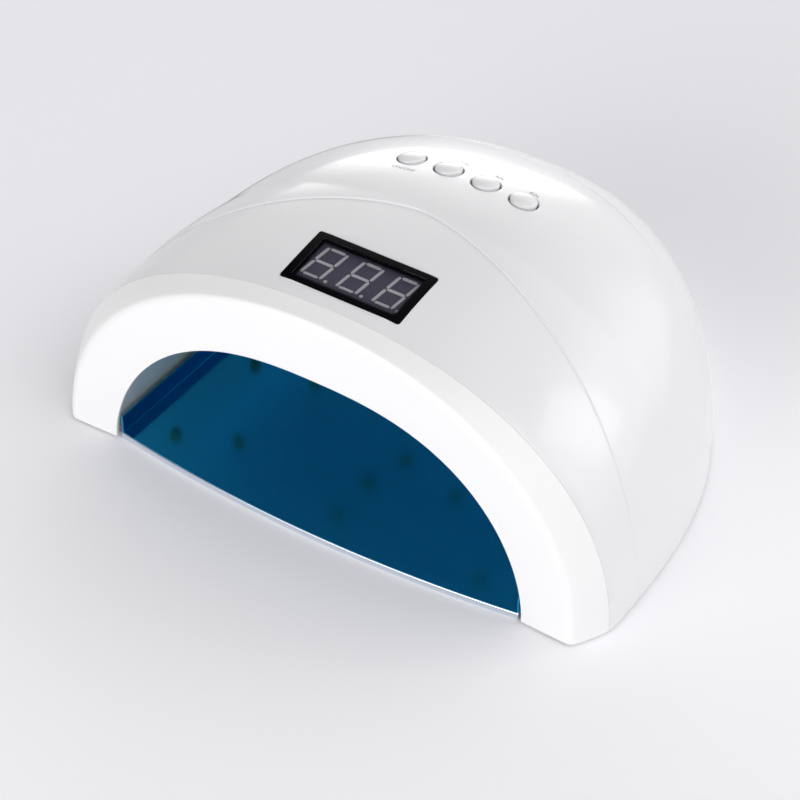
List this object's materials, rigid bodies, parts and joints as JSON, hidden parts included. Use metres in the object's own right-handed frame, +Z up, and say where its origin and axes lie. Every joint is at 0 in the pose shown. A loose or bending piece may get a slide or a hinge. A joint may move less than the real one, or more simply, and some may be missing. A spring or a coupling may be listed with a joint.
{
  "type": "led nail lamp",
  "caption": "Domed D-shaped nail-curing lamp with an arched front hand opening, sloping digit window, press buttons on top, mirror-lined cavity and slide-out metal tray.",
  "frame": {"origin": "on the table under the middle of the lamp's whole width and depth", "axes": "+X to the lamp's right seen from the front, +Y to the back, +Z up"},
  "size_m": [0.22, 0.175, 0.0911],
  "materials": {
    "shell_white": "glossy moulded white",
    "arch_white": "satin moulded white",
    "reflector_mirror": "metallised plastic, mirror bright",
    "base_white": "fine spark texture",
    "tray_steel": "polished sheet",
    "blue_film": "clear blue protective film over polished metal",
    "smoked_window": "smoked glossy acrylic",
    "module_grey": "dark lilac-grey face",
    "segment_grey": "translucent light grey, unlit",
    "board_green": "green solder mask",
    "ribbon_white": "flat ribbon sheath",
    "chip_black": "moulded package",
    "buzzer_black": "satin black",
    "capacitor_blue": "sleeved can",
    "button_white": "glossy moulded white",
    "plunger_black": "satin black",
    "switch_steel": "stamped cover",
    "led_board_white": "white solder mask on aluminium",
    "led_lens": "clear lens with yellow phosphor",
    "sensor_black": "dark infrared window",
    "jack_black": "satin black",
    "contact_metal": "plated contact",
    "magnet_nickel": "nickel plate",
    "foot_rubber": "matt grey rubber",
    "screw_steel": "zinc plate"
  },
  "bodies": {
    "housing": {"top_shell": "shell_white", "front_arch": "arch_white", "inner_reflector": "reflector_mirror", "base_ring": "base_white", "display_window": "smoked_window", "display_module": "module_grey", "digit_segments": "segment_grey", "display_board": "board_green", "control_board": "board_green", "board_ribbon": "ribbon_white", "driver_chip": "chip_black", "buzzer": "buzzer_black", "capacitors": "capacitor_blue", "tact_switches": "switch_steel", "led_board_left_crown": "led_board_white", "led_board_right_crown": "led_board_white", "led_board_rear_crown": "led_board_white", "led_board_left": "led_board_white", "led_board_right": "led_board_white", "led_board_rear_left": "led_board_white", "led_board_rear_right": "led_board_white", "led_beads": "led_lens", "hand_sensor": "sensor_black", "sensor_window": "sensor_black", "dc_jack": "jack_black", "dc_jack_pin": "contact_metal", "magnets": "magnet_nickel", "rubber_feet": "foot_rubber", "base_screws": "screw_steel", "board_screws": "screw_steel", "led_screws": "screw_steel"},
    "key_on_off": {"button_on_off": "button_white", "plunger_on_off": "plunger_black"},
    "key_10s": {"button_10s": "button_white", "plunger_10s": "plunger_black"},
    "key_30s": {"button_30s": "button_white", "plunger_30s": "plunger_black"},
    "key_60s": {"button_60s": "button_white", "plunger_60s": "plunger_black"},
    "tray": {"reflector_tray": "tray_steel", "tray_film": "blue_film"}
  },
  "joints": [
    {"name": "press_on_off", "type": "slide", "parent": "housing", "child": "key_on_off", "axis": [0.1458, -0.1893, -0.971], "range_m": [0, 0.0005], "stiffness_N_per_m": 500, "springref_m": -0.0008},
    {"name": "press_10s", "type": "slide", "parent": "housing", "child": "key_10s", "axis": [0.0375, -0.1913, -0.9808], "range_m": [0, 0.0005], "stiffness_N_per_m": 500, "springref_m": -0.0008},
    {"name": "press_30s", "type": "slide", "parent": "housing", "child": "key_30s", "axis": [-0.0375, -0.1913, -0.9808], "range_m": [0, 0.0005], "stiffness_N_per_m": 500, "springref_m": -0.0008},
    {"name": "press_60s", "type": "slide", "parent": "housing", "child": "key_60s", "axis": [-0.1458, -0.1893, -0.971], "range_m": [0, 0.0005], "stiffness_N_per_m": 500, "springref_m": -0.0008},
    {"name": "tray_slide", "type": "slide", "parent": "housing", "child": "tray", "axis": [0, -1, 0], "range_m": [0, 0.165]}
  ]
}
